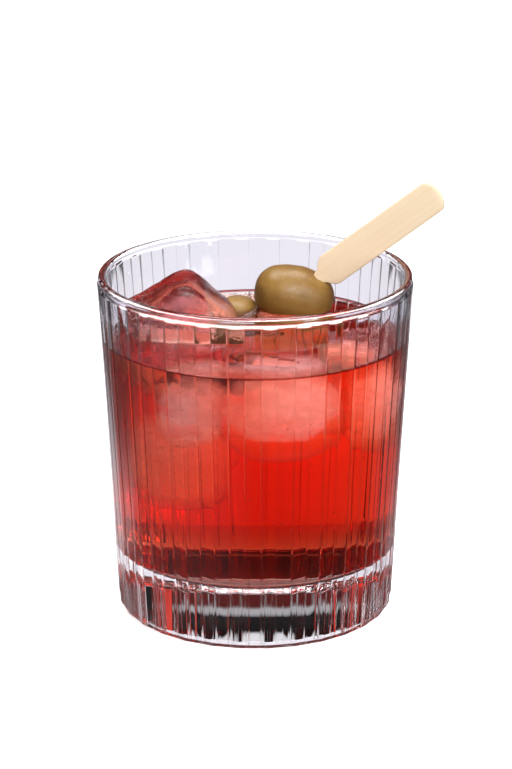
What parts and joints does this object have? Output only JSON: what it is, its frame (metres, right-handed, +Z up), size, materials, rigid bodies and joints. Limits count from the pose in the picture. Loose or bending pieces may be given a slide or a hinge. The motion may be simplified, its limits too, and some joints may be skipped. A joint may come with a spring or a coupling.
{
  "type": "sparkling aperitif cocktail",
  "caption": "Red sparkling aperitif over ice in a clear fluted tumbler, garnished with green olives on a flat bamboo pick.",
  "frame": {"origin": "centre of the tumbler's flat underside", "axes": "+Z up through the tumbler's axis; -Y is the front, with the pick leaning out over the rim towards +X"},
  "size_m": [0.0973, 0.088, 0.1177],
  "materials": {
    "tumbler_glass": "clear polished glass",
    "red_drink": "clear red liquid",
    "ice": "wet clear ice",
    "olive_skin": "wet satin",
    "bamboo": "bare sanded bamboo"
  },
  "bodies": {
    "root": {"glass": "tumbler_glass", "drink": "red_drink", "ice_left": "ice", "ice_front": "ice", "ice_back": "ice", "olive_front": "olive_skin", "olive_back": "olive_skin", "pick": "bamboo"}
  },
  "joints": []
}
